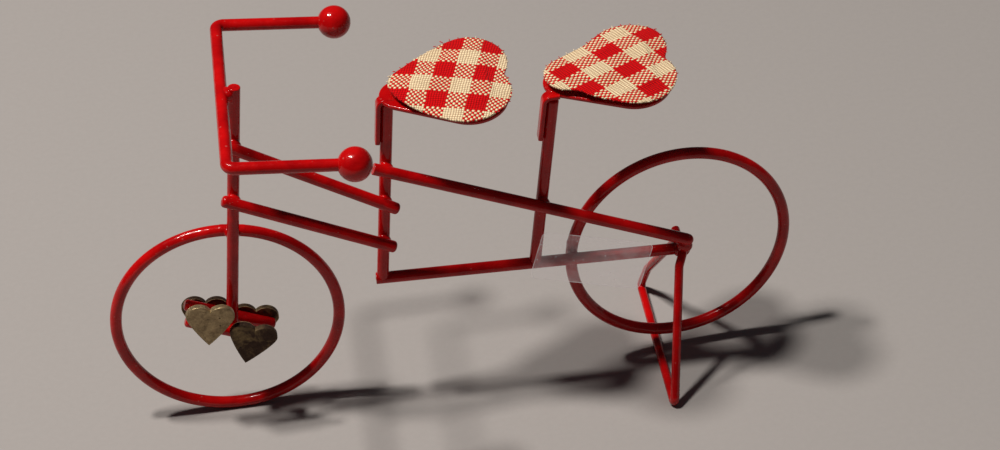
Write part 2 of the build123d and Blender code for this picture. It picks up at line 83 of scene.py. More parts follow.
def blend_colour(tree, factor, first, second, mode="MIX"):
    """Output of one colour Mix node."""
    node = add_node(tree, "ShaderNodeMix", data_type="RGBA", blend_type=mode)
    for index, value in ((0, factor), (6, first), (7, second)):
        if isinstance(value, bpy.types.NodeSocket):
            tree.links.new(value, node.inputs[index])
        else:
            node.inputs[index].default_value = value
    return node.outputs[2]


def remap(tree, value, low, high, to_low=0.0, to_high=1.0):
    """Output of a clamped Map Range node."""
    node = add_node(
        tree,
        "ShaderNodeMapRange",
        {"Value": value, "From Min": low, "From Max": high, "To Min": to_low, "To Max": to_high},
    )
    return node.outputs["Result"]


def noise(tree, place, scale, detail=2.0, roughness=0.5, warp=0.0):
    """Output of a Noise Texture."""
    values = {"Vector": place, "Scale": scale, "Detail": detail, "Roughness": roughness, "Distortion": warp}
    return add_node(tree, "ShaderNodeTexNoise", values).outputs["Fac"]


def new_group(name, inputs, outputs):
    """Empty shader node group with named float, colour or vector sockets."""
    group = bpy.data.node_groups.new(name, "ShaderNodeTree")
    kinds = {"float": "NodeSocketFloat", "colour": "NodeSocketColor", "vector": "NodeSocketVector"}
    for label, kind, value in inputs:
        socket = group.interface.new_socket(label, in_out="INPUT", socket_type=kinds[kind])
        if value is not None:
            socket.default_value = value
    for label, kind in outputs:
        group.interface.new_socket(label, in_out="OUTPUT", socket_type=kinds[kind])
    return group, group.nodes.new("NodeGroupInput"), group.nodes.new("NodeGroupOutput")


def use_group(tree, group, **values):
    """Place a group in a material. Underscores in the keyword names stand for spaces."""
    node = tree.nodes.new("ShaderNodeGroup")
    node.node_tree = group
    for name, value in values.items():
        socket = node.inputs[name.replace("_", " ")]
        if isinstance(value, bpy.types.NodeSocket):
            tree.links.new(value, socket)
        else:
            socket.default_value = value
    return node


def make_edge_wear_and_highlight():
    """Mask that is 1 along rounded and sharp outer edges, broken up by noise. It places painted edge
    highlights, and on brass also rubbed wear.
    """
    group, given, result = new_group(
        "edge_wear_and_highlight",
        [("Place", "vector", None), ("Width", "float", 0.0004), ("Break Up", "float", 900.0)],
        [("Mask", "float")],
    )
    rounded = add_node(group, "ShaderNodeBevel", {"Radius": given.outputs["Width"]}, samples=6)
    plain = add_node(group, "ShaderNodeNewGeometry")
    facing = add_node(
        group,
        "ShaderNodeVectorMath",
        {0: rounded.outputs["Normal"], 1: plain.outputs["Normal"]},
        operation="DOT_PRODUCT",
    )
    turned = remap(group, facing.outputs["Value"], 0.99, 0.80)
    patchy = noise(group, given.outputs["Place"], given.outputs["Break Up"], 3.0, 0.6)
    mask = calc(group, "MULTIPLY", turned, remap(group, patchy, 0.35, 0.6))
    group.links.new(mask, result.inputs["Mask"])
    return group


def make_specks():
    """Mask of small scattered specks such as dust, pits or pinholes."""
    group, given, result = new_group(
        "specks",
        [("Place", "vector", None), ("Scale", "float", 1200.0), ("Amount", "float", 0.3)],
        [("Mask", "float")],
    )
    cells = add_node(
        group,
        "ShaderNodeTexVoronoi",
        {"Vector": given.outputs["Place"], "Scale": given.outputs["Scale"], "Randomness": 1.0},
    )
    chosen = add_node(group, "ShaderNodeSeparateColor", {"Color": cells.outputs["Color"]})
    kept = calc(group, "LESS_THAN", chosen.outputs["Red"], given.outputs["Amount"])
    size = calc(group, "MULTIPLY_ADD", chosen.outputs["Green"], 0.22, 0.08)
    near = calc(group, "SUBTRACT", size, cells.outputs["Distance"])
    dot = remap(group, near, 0.0, 0.08)
    group.links.new(calc(group, "MULTIPLY", kept, dot), result.inputs["Mask"])
    return group


def make_scratches():
    """Mask of fine hairline scratches."""
    group, given, result = new_group(
        "scratches",
        [("Place", "vector", None), ("Scale", "float", 300.0), ("Amount", "float", 0.5)],
        [("Mask", "float")],
    )
    stretched = add_node(
        group,
        "ShaderNodeMapping",
        {"Vector": given.outputs["Place"], "Rotation": (0.4, 0.9, 0.3), "Scale": (1.0, 9.0, 1.4)},
    )
    lines = noise(group, stretched.outputs["Vector"], given.outputs["Scale"], 4.0, 0.7, 0.6)
    thin = calc(group, "ABSOLUTE", calc(group, "SUBTRACT", lines, 0.5))
    edge = calc(group, "MULTIPLY", given.outputs["Amount"], 0.02)
    group.links.new(calc(group, "LESS_THAN", thin, edge), result.inputs["Mask"])
    return group


def make_gingham():
    """Plain weave of dyed and undyed yarns, with painted shade in the low places between them. One unit of
    Place is one check.
    """
    group, given, result = new_group(
        "gingham_weave",
        [
            ("Place", "vector", None),
            ("Threads", "float", 8.0),
            ("Dyed", "colour", (0.6, 0.0, 0.01, 1)),
            ("Undyed", "colour", (0.8, 0.65, 0.45, 1)),
        ],
        [("Colour", "colour"), ("Height", "float"), ("Painted Gap Shade", "float")],
    )
    wobble = noise(group, given.outputs["Place"], 1.3, 2.0)
    shift = calc(group, "MULTIPLY", calc(group, "SUBTRACT", wobble, 0.5), 0.12)
    parts = add_node(group, "ShaderNodeSeparateXYZ", {"Vector": given.outputs["Place"]})
    across = calc(group, "ADD", parts.outputs["X"], shift)
    along = calc(group, "SUBTRACT", parts.outputs["Y"], shift)
    threads = given.outputs["Threads"]

    def yarn(place):
        """Number of the yarn, place within it from -1 to 1, and 1 if it is dyed."""
        count = calc(group, "MULTIPLY", place, threads)
        number = calc(group, "FLOOR", count)
        inside = calc(group, "MULTIPLY_ADD", calc(group, "FRACT", count), 2.0, -1.0)
        check = calc(group, "FLOOR", calc(group, "DIVIDE", calc(group, "ADD", number, 0.5), threads))
        dyed = calc(group, "FLOORED_MODULO", check, 2.0)
        return number, inside, dyed

    warp_number, warp_inside, warp_dyed = yarn(across)
    weft_number, weft_inside, weft_dyed = yarn(along)
    parity = calc(group, "FLOORED_MODULO", calc(group, "ADD", warp_number, weft_number), 2.0)
    weft_on_top = calc(group, "GREATER_THAN", parity, 0.5)

    def crown(inside_own, inside_other):
        """Rounded back of a yarn that rises as it passes over another."""
        fall = calc(group, "POWER", calc(group, "ABSOLUTE", inside_own), 2.4)
        round_back = calc(group, "SUBTRACT", 1.0, fall)
        rise = calc(group, "COSINE", calc(group, "MULTIPLY", inside_other, 1.25))
        return calc(group, "MULTIPLY", round_back, rise)

    warp_height = crown(warp_inside, weft_inside)
    weft_height = calc(group, "MULTIPLY", crown(weft_inside, warp_inside), 0.9)

    def upper_yarn(of_warp, of_weft):
        """The value that belongs to whichever yarn lies on top."""
        chosen = {0: weft_on_top, 2: of_warp, 3: of_weft}
        return add_node(group, "ShaderNodeMix", chosen, data_type="FLOAT").outputs[0]

    height = upper_yarn(warp_height, weft_height)
    dyed = upper_yarn(warp_dyed, weft_dyed)
    number = upper_yarn(warp_number, weft_number)
    tone = add_node(group, "ShaderNodeTexWhiteNoise", {"W": number}, noise_dimensions="1D")
    fibres = noise(group, given.outputs["Place"], 38.0, 3.0, 0.7)
    faded = calc(group, "MULTIPLY_ADD", tone.outputs["Value"], 0.12, 0.90)
    shade = calc(group, "MULTIPLY", faded, remap(group, fibres, 0.2, 0.8, 0.82, 1.12))
    cloth = blend_colour(group, dyed, given.outputs["Undyed"], given.outputs["Dyed"])
    shaded = add_node(group, "ShaderNodeVectorMath", {0: cloth, "Scale": shade}, operation="SCALE")
    # Painted shade: 1 where the yarns dip low between crossings, 0 on their crowns.
    gap = remap(group, height, 0.62, 0.10)
    group.links.new(shaded.outputs["Vector"], result.inputs["Colour"])
    group.links.new(calc(group, "MULTIPLY_ADD", fibres, 0.25, height), result.inputs["Height"])
    group.links.new(gap, result.inputs["Painted Gap Shade"])
    return group


edge_wear_and_highlight = make_edge_wear_and_highlight()
specks = make_specks()
scratches = make_scratches()
gingham_weave = make_gingham()


# ---- materials ----
def new_material(name):
    material = bpy.data.materials.new(name)
    material.use_nodes = True
    tree = material.node_tree
    tree.nodes.clear()
    shader = tree.nodes.new("ShaderNodeBsdfPrincipled")
    output = tree.nodes.new("ShaderNodeOutputMaterial")
    tree.links.new(shader.outputs[0], output.inputs["Surface"])
    place = add_node(tree, "ShaderNodeTexCoord").outputs["Object"]
    return material, tree, shader, place


def set_bump(tree, shader, height, distance, strength=1.0):
    bump = add_node(tree, "ShaderNodeBump", {"Height": height, "Distance": distance, "Strength": strength})
    tree.links.new(bump.outputs["Normal"], shader.inputs["Normal"])


def make_red_dip(name="red_dip"):
    """Glossy red paint from dipping, thick in places, with dust and a painted highlight along its edges."""
    material, tree, shader, place = new_material(name)
    thickness = noise(tree, place, 260.0, 3.0, 0.5, 0.3)
    deep, bright = (0.36, 0.0010, 0.0018, 1), (0.52, 0.0026, 0.0028, 1)
    paint = blend_colour(tree, remap(tree, thickness, 0.35, 0.65), deep, bright)
    # Edges are lightened towards the paint's highlight colour: a painted highlight, broken up by noise.
    painted_edge_highlight = use_group(tree, edge_wear_and_highlight, Place=place, Width=0.00022, Break_Up=700.0)
    paint = blend_colour(
        tree, calc(tree, "MULTIPLY", painted_edge_highlight.outputs["Mask"], 0.30), paint, (0.75, 0.10, 0.07, 1)
    )
    dust = use_group(tree, specks, Place=place, Scale=1500.0, Amount=0.10)
    dusty = calc(tree, "MULTIPLY", dust.outputs["Mask"], 0.30)
    paint = blend_colour(tree, dusty, paint, (0.50, 0.22, 0.19, 1))
    tree.links.new(paint, shader.inputs["Base Color"])
    scuffed = use_group(tree, scratches, Place=place, Scale=420.0, Amount=0.6)
    gloss = remap(tree, noise(tree, place, 500.0, 2.0), 0.3, 0.7, 0.10, 0.20)
    gloss = calc(tree, "ADD", gloss, calc(tree, "MULTIPLY", scuffed.outputs["Mask"], 0.15))
    tree.links.new(gloss, shader.inputs["Roughness"])
    shader.inputs["IOR"].default_value = 1.5
    shader.inputs["Specular IOR Level"].default_value = 0.25
    shader.inputs["Coat Weight"].default_value = 0.15
    shader.inputs["Coat Roughness"].default_value = 0.05
    runs = noise(tree, place, 420.0, 2.0, 0.4, 0.2)
    peel = noise(tree, place, 2600.0, 2.0, 0.5)
    surface = calc(tree, "MULTIPLY_ADD", peel, 0.08, runs)
    surface = calc(tree, "MULTIPLY_ADD", dust.outputs["Mask"], 0.05, surface)
    set_bump(tree, shader, surface, 0.00016)
    return material


def make_aged_brass(name, tarnish_from, tarnish_to, clean, dull):
    """Stamped brass charm with tarnish, pits, and edges rubbed bright and lightened further by a painted
    highlight on the rims.
    """
    material, tree, shader, place = new_material(name)
    cloud = noise(tree, place, 330.0, 5.0, 0.65, 0.5)
    streak = noise(tree, place, 1400.0, 3.0, 0.6)
    tarnish = remap(tree, calc(tree, "MULTIPLY_ADD", streak, 0.25, cloud), tarnish_from, tarnish_to)
    metal = blend_colour(tree, tarnish, clean, dull)
    pits = use_group(tree, specks, Place=place, Scale=1100.0, Amount=0.5)
    metal = blend_colour(tree, pits.outputs["Mask"], metal, (0.03, 0.018, 0.01, 1))
    wander = noise(tree, place, 240.0, 3.0, 0.6, 1.4)
    line = remap(tree, calc(tree, "ABSOLUTE", calc(tree, "SUBTRACT", wander, 0.5)), 0.012, 0.0)
    stain = calc(tree, "MULTIPLY", line, remap(tree, noise(tree, place, 420.0, 2.0), 0.48, 0.60))
    metal = blend_colour(tree, calc(tree, "MULTIPLY", stain, 0.85), metal, (0.05, 0.028, 0.015, 1))
    # The rims are lightened: partly rubbed brass, partly a painted highlight.
    rubbed_and_rim_highlight = use_group(tree, edge_wear_and_highlight, Place=place, Width=0.00035, Break_Up=500.0)
    metal = blend_colour(
        tree, calc(tree, "MULTIPLY", rubbed_and_rim_highlight.outputs["Mask"], 0.8), metal, (0.72, 0.55, 0.28, 1)
    )
    tree.links.new(metal, shader.inputs["Base Color"])
    shader.inputs["Metallic"].default_value = 0.85
    lines = use_group(tree, scratches, Place=place, Scale=500.0, Amount=1.0)
    rough = remap(tree, tarnish, 0.0, 1.0, 0.34, 0.62)
    rough = calc(tree, "MULTIPLY_ADD", lines.outputs["Mask"], 0.12, rough)
    tree.links.new(rough, shader.inputs["Roughness"])
    surface = calc(tree, "MULTIPLY_ADD", pits.outputs["Mask"], -0.9, streak)
    surface = calc(tree, "MULTIPLY_ADD", lines.outputs["Mask"], -0.2, surface)
    set_bump(tree, shader, surface, 0.00008)
    return material


def make_gingham_cloth(name="gingham_cotton"):
    """Red and cream cotton gingham, darkened by painted shade between the yarns."""
    material, tree, shader, _ = new_material(name)
    place = add_node(tree, "ShaderNodeUVMap", uv_map="checks").outputs["UV"]
    weave = use_group(
        tree,
        gingham_weave,
        Place=place,
        Threads=8.0,
        Dyed=(0.74, 0.0015, 0.004, 1),
        Undyed=(1.0, 0.80, 0.50, 1),
    )
    # Multiply in painted shade where the yarns dip between crossings.
    gap = calc(tree, "MULTIPLY", weave.outputs["Painted Gap Shade"], 0.85)
    gap_shaded_colour = blend_colour(tree, gap, weave.outputs["Colour"], (0.34, 0.16, 0.13, 1), "MULTIPLY")
    soiled = remap(tree, noise(tree, place, 0.6, 3.0), 0.45, 0.75, 0.0, 0.22)
    colour = blend_colour(tree, soiled, gap_shaded_colour, (0.55, 0.40, 0.24, 1), "MULTIPLY")
    tree.links.new(colour, shader.inputs["Base Color"])
    shader.inputs["Roughness"].default_value = 0.88
    shader.inputs["Specular IOR Level"].default_value = 0.08
    shader.inputs["Sheen Weight"].default_value = 0.04
    shader.inputs["Sheen Roughness"].default_value = 0.5
    set_bump(tree, shader, weave.outputs["Height"], 0.00012)
    return material


def make_thread(name, colour):
    """Single cotton yarn with a twist."""
    material, tree, shader, place = new_material(name)
    twist = noise(tree, place, 6000.0, 2.0, 0.6)
    shaded = [0.7 * c for c in colour[:3]] + [1]
    tree.links.new(blend_colour(tree, twist, shaded, colour), shader.inputs["Base Color"])
    shader.inputs["Roughness"].default_value = 0.9
    set_bump(tree, shader, twist, 0.00003)
    return material


def make_wadding(name="wadding"):
    """Pale felted wadding under the cloth."""
    material, tree, shader, place = new_material(name)
    tufts = noise(tree, place, 1800.0, 4.0, 0.7, 0.8)
    tone = blend_colour(tree, tufts, (0.62, 0.54, 0.42, 1), (0.85, 0.79, 0.68, 1))
    tree.links.new(tone, shader.inputs["Base Color"])
    shader.inputs["Roughness"].default_value = 0.95
    set_bump(tree, shader, tufts, 0.0001)
    return material


def make_clear_film(name="clear_film"):
    """Thin clear sticker film, slightly hazy and dusty, with a painted highlight along its cut edge and a
    faint painted glow.
    """
    material, tree, shader, place = new_material(name)
    haze = noise(tree, place, 180.0, 3.0, 0.6, 0.4)
    dust = use_group(tree, specks, Place=place, Scale=1300.0, Amount=0.2)
    edge = use_group(tree, edge_wear_and_highlight, Place=place, Width=0.0003, Break_Up=200.0)
    shader.inputs["Base Color"].default_value = (0.86, 0.80, 0.78, 1)
    cover = remap(tree, haze, 0.35, 0.65, 0.05, 0.17)
    cover = calc(tree, "MULTIPLY_ADD", dust.outputs["Mask"], 0.22, cover)
    # The pale film is made more opaque along its cut edge: a painted highlight.
    cover = calc(tree, "MULTIPLY_ADD", edge.outputs["Mask"], 0.55, cover, clamp=True)
    tree.links.new(cover, shader.inputs["Alpha"])
    tree.links.new(remap(tree, haze, 0.3, 0.7, 0.10, 0.22), shader.inputs["Roughness"])
    shader.inputs["Coat Weight"].default_value = 0.6
    shader.inputs["Coat Roughness"].default_value = 0.08
    # Painted glow: the film gives off a faint light of its own, standing in for light caught in its haze.
    shader.inputs["Emission Color"].default_value = (0.80, 0.72, 0.72, 1)
    shader.inputs["Emission Strength"].default_value = 0.30
    set_bump(tree, shader, haze, 0.0002)
    return material


red_dip = make_red_dip()
brass_light = make_aged_brass(
    "brass_light", 0.50, 0.92, (0.44, 0.33, 0.18, 1), (0.12, 0.075, 0.04, 1)
)
# Darker copy of the brass: real tarnish, and painted shade where it is put on the far pedals.
brass_dark_tarnish_and_shade = make_aged_brass(
    "brass_tarnished", 0.34, 0.66, (0.27, 0.19, 0.085, 1), (0.055, 0.03, 0.02, 1)
)
gingham_cotton = make_gingham_cloth()
red_yarn = make_thread("red_yarn", (0.6, 0.006, 0.012, 1))
cream_yarn = make_thread("cream_yarn", (0.82, 0.68, 0.48, 1))
wadding = make_wadding()
clear_film = make_clear_film()


def dress(obj, *materials):
    """Give an object its materials."""
    obj.data.materials.clear()
    for material in materials:
        obj.data.materials.append(material)


for name in RED_NODES:
    dress(nodes[name], red_dip)
dress(nodes["left_front_pedal"], brass_light)
# The near left_rear_pedal takes the darker brass for its real tarnish. The far right pedals take it as
# painted shade, since their faces turn away from the light.
for name in ("left_rear_pedal", "right_front_pedal", "right_rear_pedal"):
    dress(nodes[name], brass_dark_tarnish_and_shade)
dress(nodes["clear_label"], clear_film)


# ---- mesh helpers ----
def new_object(name, verts, faces, smooth=True):
    mesh = bpy.data.meshes.new(name)
    mesh.from_pydata([tuple(v) for v in verts], [], faces)
    mesh.validate()
    obj = bpy.data.objects.new(name, mesh)
    bpy.context.scene.collection.objects.link(obj)
    mesh.shade_smooth() if smooth else mesh.shade_flat()
    return obj


def node_points(name):
    """A CAD node's vertices as an array."""
    mesh = nodes[name].data
    points = np.empty(3 * len(mesh.vertices))
    mesh.vertices.foreach_get("co", points)
    return points.reshape(-1, 3)


def wire_line(name):
    """Centre line of a straight wire: its two ends, left to right or bottom to top."""
    points = node_points(name)
    low, high = points.min(axis=0), points.max(axis=0)
    middle = (low + high) / 2
    run = np.linalg.svd(points - points.mean(axis=0), full_matrices=False)[2][0]
    run = run * np.sign(run[2] if abs(run[2]) > 0.7 else run[0])
    reach = (points - middle) @ run
    return Vector(middle + run * reach.min()), Vector(middle + run * reach.max())


def ring_line(name, count=96):
    """Centre line of a wheel ring as points."""
    points = node_points(name)
    middle = (points.min(axis=0) + points.max(axis=0)) / 2
    axes = np.linalg.svd(points - middle, full_matrices=False)[2]
    radius = np.linalg.norm(points - middle, axis=1).max() - WIRE_RADIUS
    turns = np.linspace(0, 2 * math.pi, count, endpoint=False)
    return [Vector(middle + radius * (axes[0] * math.cos(t) + axes[1] * math.sin(t))) for t in turns]


def closest_on(line, other):
    """Nearest points of two polylines, and the direction of each there."""
    best = None
    for i in range(len(line) - 1):
        for j in range(len(other) - 1):
            a, b, c, d = line[i], line[i + 1], other[j], other[j + 1]
            u, v, w = b - a, d - c, a - c
            uu, uv, vv, uw, vw = u.dot(u), u.dot(v), v.dot(v), u.dot(w), v.dot(w)
            spread = uu * vv - uv * uv
            s = min(1, max(0, (uv * vw - vv * uw) / spread)) if spread > 1e-16 else 0.5
            t = min(1, max(0, (uv * s + vw) / vv))
            s = min(1, max(0, (uv * t - uw) / uu))
            p, q = a + u * s, c + v * t
            gap = (p - q).length
            if best is None or gap < best[0]:
                best = (gap, p, u.normalized(), q, v.normalized())
    return best[1:]


def capsule(mesh, start, finish, radius, rings=7, sides=18):
    """Add a round-ended rod to a bmesh."""
    run = finish - start
    turn = run.to_track_quat("Z", "Y")
    profile = []
    for k in range(rings + 1):
        t = -math.pi / 2 + k * math.pi / (2 * rings)
        profile.append((radius * math.cos(t), radius * math.sin(t)))
    for k in range(rings + 1):
        t = k * math.pi / (2 * rings)
        profile.append((radius * math.cos(t), run.length + radius * math.sin(t)))
    loops = []
    for r, z in profile:
        loop = []
        for s in range(sides):
            a = 2 * math.pi * s / sides
            wide = max(r, 1e-5)
            loop.append(mesh.verts.new(start + turn @ Vector((wide * math.cos(a), wide * math.sin(a), z))))
        loops.append(loop)
    for low, high in zip(loops, loops[1:]):
        for s in range(sides):
            mesh.faces.new((low[s], low[(s + 1) % sides], high[(s + 1) % sides], high[s]))
    mesh.faces.new(reversed(loops[0]))
    mesh.faces.new(loops[-1])


def apply_modifiers(obj):
    """Replace an object's mesh by the result of its modifiers."""
    graph = bpy.context.evaluated_depsgraph_get()
    done = bpy.data.meshes.new_from_object(obj.evaluated_get(graph))
    old = obj.data
    obj.modifiers.clear()
    obj.data = done
    bpy.data.meshes.remove(old)


def resize(obj, factor):
    obj.data.transform(Matrix.Scale(factor, 4))


def melt_together(name, rods, voxel, passes):
    """One smooth skin over round-ended rods: the creases between them fill like solder."""
    mesh = bmesh.new()
    for start, finish, radius in rods:
        capsule(mesh, start * LARGE, finish * LARGE, radius * LARGE)
    obj = new_object(name, [], [])
    mesh.to_mesh(obj.data)
    mesh.free()
    skin = obj.modifiers.new("skin", "REMESH")
    skin.mode = "VOXEL"
    skin.voxel_size = voxel * LARGE
    skin.use_smooth_shade = True
    melt = obj.modifiers.new("melt", "SMOOTH")
    melt.factor = 0.5
    melt.iterations = passes
    apply_modifiers(obj)
    resize(obj, 1 / LARGE)
    obj.data.shade_smooth()
    return obj


# ---- solder fillets at the joints, under the same paint ----
lines = {name: list(wire_line(name)) for name in (
    "steering_post", "front_seat_post", "rear_seat_post", "upper_front_tube",
    "lower_front_tube", "long_top_tube", "bottom_tube", "rear_hub_sleeve",
)}
for name in ("front_wheel_ring", "rear_wheel_ring"):
    ring = ring_line(name)
    lines[name] = ring + ring[:1]
bar_low, bar_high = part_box("handlebar")
bar_front = Vector((bar_low[0] + WIRE_RADIUS, 0, bar_high[2] - WIRE_RADIUS))
lines["handlebar"] = [bar_front + Vector((0, -0.01, 0)), bar_front + Vector((0, 0.01, 0))]

FILLET_REACH = 1.9 * MM
FILLETS = (
    ("upper_front_tube", "steering_post", 1.25),
    ("lower_front_tube", "steering_post", 1.25),
    ("upper_front_tube", "front_seat_post", 1.2),
    ("lower_front_tube", "front_seat_post", 1.2),
    ("long_top_tube", "front_seat_post", 1.25),
    ("long_top_tube", "rear_seat_post", 1.3),
    ("front_wheel_ring", "steering_post", 1.25),
    ("rear_wheel_ring", "bottom_tube", 1.2),
    ("handlebar", "steering_post", 1.35),
    ("front_seat_post", "bottom_tube", 1.15),
    ("rear_seat_post", "bottom_tube", 1.2),
    ("long_top_tube", "rear_hub_sleeve", 1.45),
    ("bottom_tube", "rear_hub_sleeve", 1.3),
)
rods = []
for one, other, blob in FILLETS:
    p, p_run, q, q_run = closest_on(lines[one], lines[other])
    for point, run, line in ((p, p_run, lines[one]), (q, q_run, lines[other])):
        back = FILLET_REACH
        ahead = FILLET_REACH
        if len(line) == 2:
            back = min(back, (point - line[0]).length - 0.9 * MM)
            ahead = min(ahead, (line[1] - point).length - 0.9 * MM)
        rods.append((point - run * max(back, 0.0001), point + run * max(ahead, 0.0001), 0.985 * WIRE_RADIUS))
    middle = (p + q) / 2
    rods.append((middle - p_run * 0.2 * MM, middle + p_run * 0.2 * MM, blob * 0.82 * MM))
fillets = melt_together("solder_fillets", rods, 0.13 * MM, 9)
dress(fillets, red_dip)
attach(fillets, "frame")
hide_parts("solder_joints")


# ---- gingham seats ----
SEAT_ROLL = math.radians(6.0)
SEAT_YAW = {"front": 0.0, "rear": math.radians(3.5)}
LOBE_RADIUS = 6.95 * MM
NOSE_RADIUS = 4.35 * MM
STRAY_CENTRE = 0.52  # share of the length from the nose that the strays are turned about
PAD_INSIDE_CLOTH = 2.45 * MM
PAN_INSIDE_CLOTH = 0.95 * MM
PAD_RISE = 1.42 * MM
PAD_SHOULDER = 1.5 * MM
PAD_SPACING = 0.7 * MM
CLOTH_SPACING = 0.35 * MM
CLOTH_THICKNESS = 0.24 * MM
RIM_HEIGHT = 1.38  # mm, of the cloth's cut edge above the pan
CLOTH_CROWN = 0.20  # mm, of the cloth's middle above its edge
CROWN_REACH = 3.4 * MM
RIPPLE = 0.40  # mm
SIDE_MOVE = 0.012  # most that a point keeps of its simulated move, in metres at 100 times the size
DROP_MOVE = 0.022
LAST_FRAME = 24


def heart_edge(length, width, inset, count):
    """Points round a blunt heart: nose at the origin, lobes towards +x, flat in x and y."""
    lobe_x, lobe_y = length - LOBE_RADIUS, width / 2 - LOBE_RADIUS
    small, large, nose_x = NOSE_RADIUS - inset, LOBE_RADIUS - inset, NOSE_RADIUS
    aim = math.atan2(lobe_y, lobe_x - nose_x)
    flank = aim + math.asin((large - small) / math.hypot(lobe_y, lobe_x - nose_x)) + math.pi / 2
    cleft = math.acos(lobe_y / large) - math.pi / 2
    half = []
    for k in range(24):
        a = math.pi + (flank - math.pi) * k / 23
        half.append((nose_x + small * math.cos(a), small * math.sin(a)))
    for k in range(48):
        a = flank + (cleft - flank) * k / 47
        half.append((lobe_x + large * math.cos(a), lobe_y + large * math.sin(a)))
    half = half[:-1] + [(half[-1][0], 0.0)]
    loop = half + [(x, -y) for x, y in reversed(half[1:-1])]
    loop = np.array(loop + loop[:1])[::-1]
    step = np.hypot(*np.diff(loop, axis=0).T)
    reach = np.concatenate([[0], np.cumsum(step)])
    places = np.linspace(0, reach[-1], count, endpoint=False)
    return np.stack([np.interp(places, reach, loop[:, 0]), np.interp(places, reach, loop[:, 1])], axis=1)


def fill_outline(edge, spacing):
    """Triangulated flat sheet inside an outline, with a vertex every spacing."""
    mesh = bmesh.new()
    corners = [mesh.verts.new((x, y, 0)) for x, y in edge]
    mesh.faces.new(corners)
    low, high = edge.min(axis=0), edge.max(axis=0)
    for axis in (0, 1):
        for place in np.arange(low[axis] + spacing / 2, high[axis], spacing):
            point, normal = Vector((0, 0, 0)), Vector((0, 0, 0))
            point[axis], normal[axis] = place, 1
            everything = mesh.verts[:] + mesh.edges[:] + mesh.faces[:]
            near = spacing * 0.02
            bmesh.ops.bisect_plane(mesh, geom=everything, plane_co=point, plane_no=normal, dist=near)
    bmesh.ops.triangulate(mesh, faces=[f for f in mesh.faces if len(f.verts) > 4])
    return mesh


class Seat:
    """Where one seat is: its nose, its directions and the cloth's cut."""

    def __init__(self, name, checks, red_check, strays, seed):
        self.name = name
        self.checks = np.linalg.inv(np.array(checks).T * MM)
        self.red_check = np.array(red_check) * MM
        self.strays = strays
        self.seed = seed
        run, other = Vector(checks[0]), Vector(checks[1])
        self.yarns = (Vector((run.x, run.y, 0)).normalized(), Vector((other.x, other.y, 0)).normalized())
        cover = node_points(f"{name}_seat_cover")
        yaw = SEAT_YAW[name]
        self.up = Vector((0, -math.sin(SEAT_ROLL), math.cos(SEAT_ROLL)))
        aside = math.sin(yaw)
        self.ahead = Vector((math.cos(yaw), aside * math.cos(SEAT_ROLL), aside * math.sin(SEAT_ROLL)))
        self.side = self.up.cross(self.ahead)
        heights = cover @ np.array(self.up)
        self.bottom = heights.min()
        along = cover @ np.array(self.ahead)
        across = cover @ np.array(self.side)
        self.nose_along = along.min()
        self.tail_along = along.max()
        self.middle_across = (across.min() + across.max()) / 2
        self.half_width = (across.max() - across.min()) / 2

    def put(self, x, y, z):
        """World place of a point given in the seat's own directions, from the cloth's nose on the pan."""
        return (
            self.ahead * (self.nose_along + x)
            + self.side * (self.middle_across + y)
            + self.up * (self.bottom + z)
        )

    def check_place(self, flat):
        """Place on the gingham of flat points, in checks. Odd checks are dyed."""
        return (flat[:, :2] - self.red_check) @ self.checks.T + 1.5


def cut_outline(seat, inset, count=220):
    """Hand-cut outline of the cloth in the seat's own directions, from the cloth's nose."""
    length = seat.tail_along - seat.nose_along
    width = 2 * seat.half_width
    edge = heart_edge(length, width, inset, count)
    centre = np.array([length * STRAY_CENTRE, 0.0])
    out = edge - centre
    angle = np.degrees(np.arctan2(out[:, 1], out[:, 0]))
    stray = np.zeros(len(edge))
    for middle, spread, amount in seat.strays:
        turned = (angle - middle + 180) % 360 - 180
        stray += amount * MM * np.exp(-((turned / spread) ** 2))
    reach = np.hypot(out[:, 0], out[:, 1])
    return centre + out * (1 + stray / reach)[:, None]


def crown_height(x, y, edge):
    """Height of the pad above the pan, from 0 to 1: flat in the middle, rounded down to the rim."""
    gaps = np.hypot(edge[:, 0][None, :] - x[:, None], edge[:, 1][None, :] - y[:, None]).min(axis=1)
    share = np.clip(gaps / PAD_SHOULDER, 0, 1)
    return np.sqrt(1 - (1 - share) ** 2)


def make_pad(seat):
    """Thin crowned pad, closed, resting on the pan."""
    edge = cut_outline(seat, PAD_INSIDE_CLOTH, 140)
    mesh = fill_outline(edge, PAD_SPACING)
    flat = np.array([v.co[:] for v in mesh.verts])
    rise = crown_height(flat[:, 0], flat[:, 1], edge) * PAD_RISE
    obj = new_object(f"{seat.name}_seat_wadding", [], [])
    lower = bmesh.ops.duplicate(mesh, geom=mesh.verts[:] + mesh.edges[:] + mesh.faces[:])
    tops = mesh.verts[: len(flat)]
    for v, r in zip(list(tops), rise):
        v.co.z = 0.03 * MM + r
    copies = [g for g in lower["geom"] if isinstance(g, bmesh.types.BMVert)]
    for v in copies:
        v.co.z = 0.02 * MM
    faces = [g for g in lower["geom"] if isinstance(g, bmesh.types.BMFace)]
    bmesh.ops.reverse_faces(mesh, faces=faces)
    bmesh.ops.remove_doubles(mesh, verts=mesh.verts[:], dist=0.015 * MM)
    mesh.to_mesh(obj.data)
    mesh.free()
    for v in obj.data.vertices:
        v.co = seat.put(*v.co)
    obj.data.shade_smooth()
    dress(obj, wadding)
    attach(obj, "frame")
    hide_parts(f"{seat.name}_seat_pad")
    return obj


